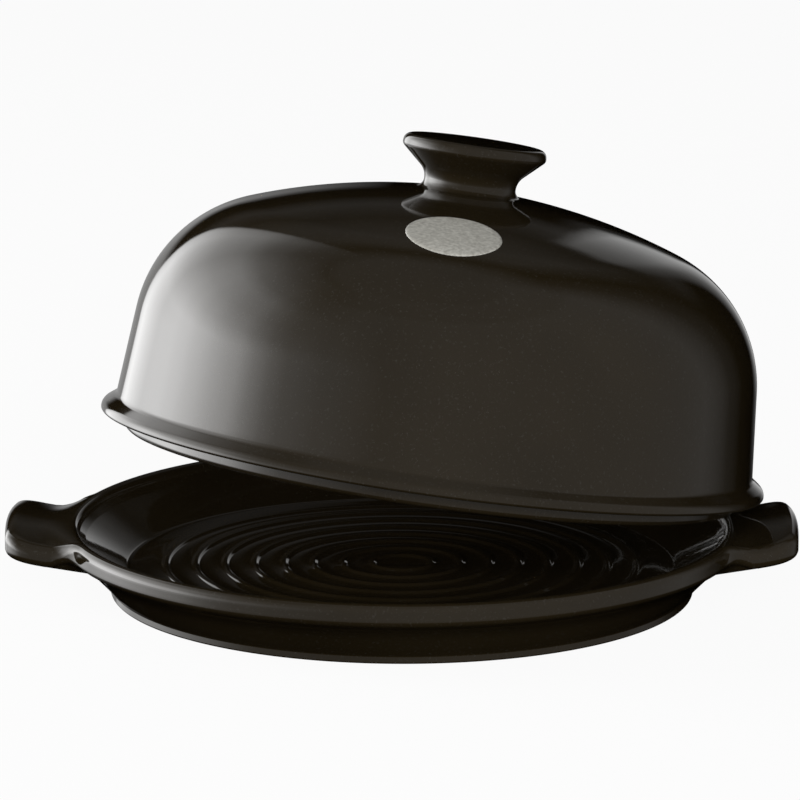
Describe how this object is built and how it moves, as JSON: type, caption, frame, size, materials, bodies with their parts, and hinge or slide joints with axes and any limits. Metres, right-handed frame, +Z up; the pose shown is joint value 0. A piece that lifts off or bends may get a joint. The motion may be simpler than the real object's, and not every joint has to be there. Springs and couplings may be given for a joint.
{
  "type": "bread cloche",
  "caption": "Glazed stoneware bread cloche: low round dish with wide side tabs, and a tall domed lid with a flared knob, tipped open.",
  "frame": {"origin": "centre of the dish's foot ring, on the surface that the dish stands on", "axes": "+Z is up, +X points through the middle of the right-hand tab, and -Y points to the front, where the label is"},
  "size_m": [0.335, 0.2896, 0.1936],
  "materials": {
    "dish_glaze": "gloss charcoal glaze",
    "lid_glaze": "gloss charcoal glaze with a faint speckle",
    "label_enamel": "grey enamel, bare"
  },
  "bodies": {
    "dish": {"base_dish": "dish_glaze"},
    "lid": {"lid_dome": "lid_glaze", "lid_label": "label_enamel"}
  },
  "joints": [
    {"name": "lid_tip", "type": "hinge", "parent": "dish", "child": "lid", "pos_m": [0.13954, 0.10138, -0.05018], "axis": [-0.5878, 0.809, 0], "range_deg": [-9.7, 45]}
  ]
}
